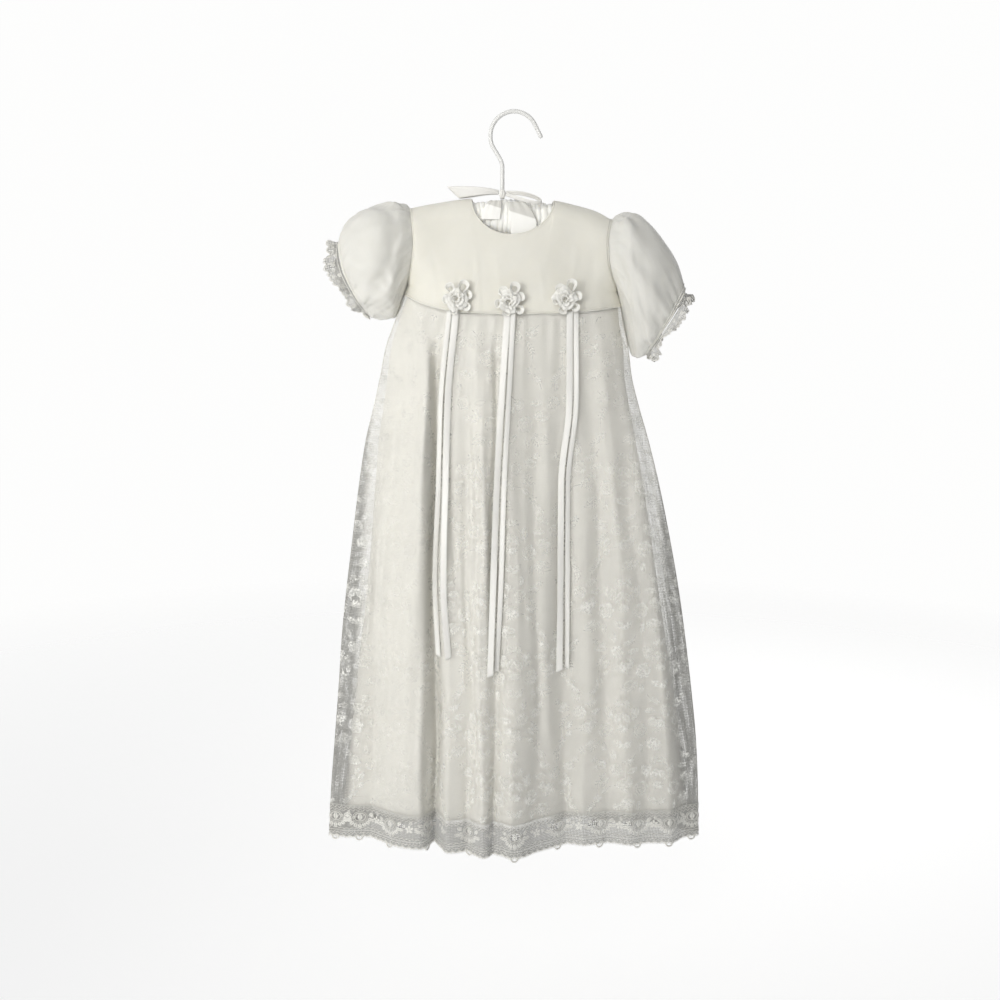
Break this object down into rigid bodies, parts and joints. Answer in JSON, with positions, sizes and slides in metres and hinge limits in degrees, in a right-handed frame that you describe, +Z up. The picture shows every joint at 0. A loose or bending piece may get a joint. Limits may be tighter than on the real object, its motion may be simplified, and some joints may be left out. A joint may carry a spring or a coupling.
{
  "type": "christening gown on a padded hanger",
  "caption": "Infant's long lace gown with puffed sleeves, ribbon roses and a satin underskirt, hanging on a small padded hanger by its wire hook.",
  "frame": {"origin": "inside top of the hanger's hook, where a rod or peg carries it", "axes": "+Z up along the hanging gown, -Y towards the gown's front, +X to the right of someone facing the front"},
  "size_m": [0.386, 0.1057, 0.7319],
  "materials": {
    "organza": "sheer organza over a satin yoke, soft sheen",
    "lace": "fine net with flower sprays, matt",
    "lining_satin": "satin lining, soft sheen",
    "ribbon_satin": "glossy satin ribbon",
    "pad_satin": "shirred glossy satin",
    "coated_wire": "white plastic-coated wire",
    "button_pearl": "small pearly buttons"
  },
  "bodies": {
    "root": {"bodice_front": "organza", "bodice_back_left": "organza", "bodice_back_right": "organza", "button_1": "button_pearl", "button_2": "button_pearl", "button_3": "button_pearl", "sleeve_left": "organza", "sleeve_right": "organza", "cuff_lace_left": "lace", "cuff_lace_right": "lace", "skirt_lace_front": "lace", "skirt_lace_back": "lace", "skirt_lining_front": "lining_satin", "skirt_lining_back": "lining_satin", "rosette_left": "ribbon_satin", "rosette_centre": "ribbon_satin", "rosette_right": "ribbon_satin", "tail_left_wide": "ribbon_satin", "tail_left_narrow": "ribbon_satin", "tail_centre_wide": "ribbon_satin", "tail_centre_narrow": "ribbon_satin", "tail_right_wide": "ribbon_satin", "tail_right_narrow": "ribbon_satin", "hanger_hook": "coated_wire", "hanger_pad": "pad_satin", "bow_loop_left": "ribbon_satin", "bow_loop_right": "ribbon_satin", "bow_knot": "ribbon_satin", "bow_tail_left": "ribbon_satin", "bow_tail_right": "ribbon_satin"}
  },
  "joints": []
}
